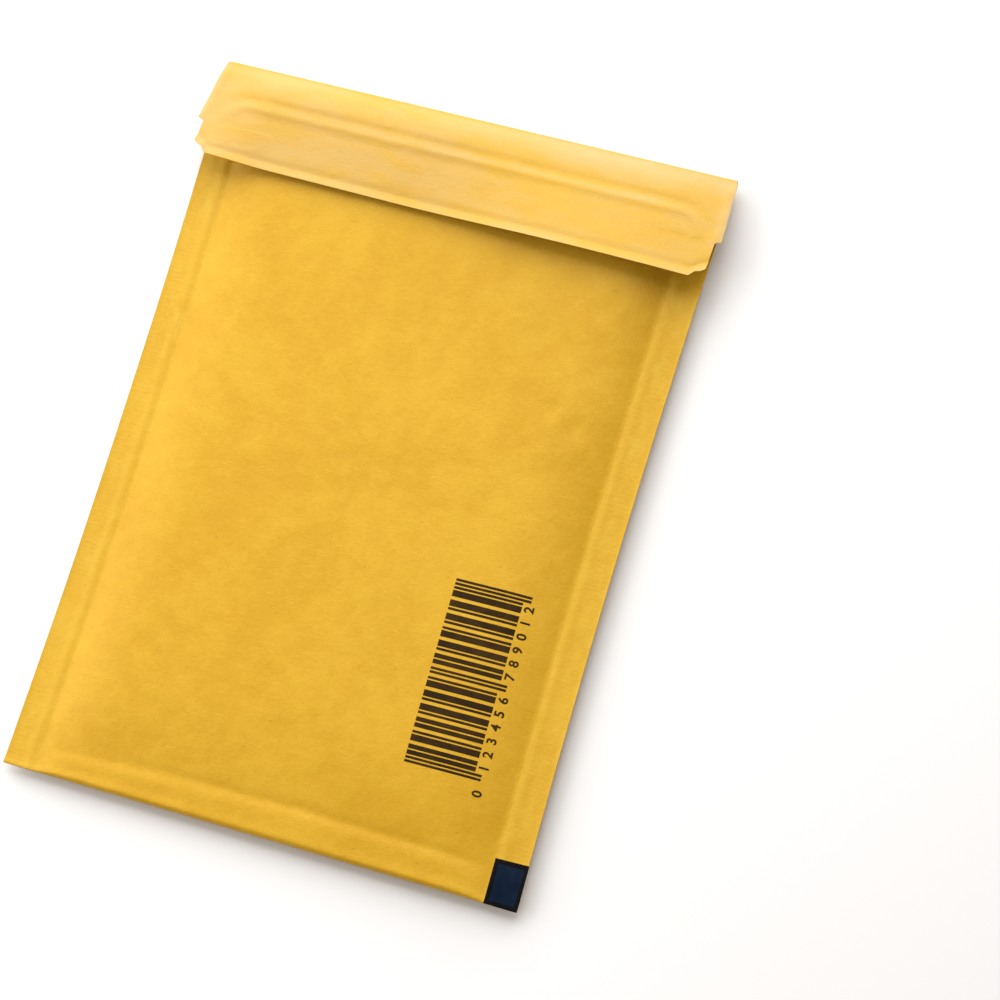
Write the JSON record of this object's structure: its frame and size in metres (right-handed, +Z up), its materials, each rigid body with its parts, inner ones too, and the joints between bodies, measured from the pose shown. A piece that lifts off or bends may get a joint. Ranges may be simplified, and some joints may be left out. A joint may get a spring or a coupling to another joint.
{
  "type": "padded envelope",
  "caption": "Kraft paper mailing envelope lined with bubble film, with welded side seams and a flap folded over its front.",
  "frame": {"origin": "under the middle of the envelope, on the surface that it lies on", "axes": "+X across to the right-hand seam seen from above, +Y from the bottom fold to the flap's crease, +Z up from the back to the front"},
  "size_m": [0.172, 0.237, 0.0149],
  "materials": {
    "kraft_paper": "matte golden kraft paper",
    "bubble_film": "gloss clear bubble film, slightly milky",
    "glue": "satin cloudy hot-melt glue",
    "liner_paper": "satin white release paper",
    "printing_ink": "matte dark ink of the barcode and the corner mark"
  },
  "bodies": {
    "root": {"kraft_wrapper": "kraft_paper", "bubble_lining": "bubble_film", "adhesive_strip": "glue", "release_liner": "liner_paper"}
  },
  "joints": []
}
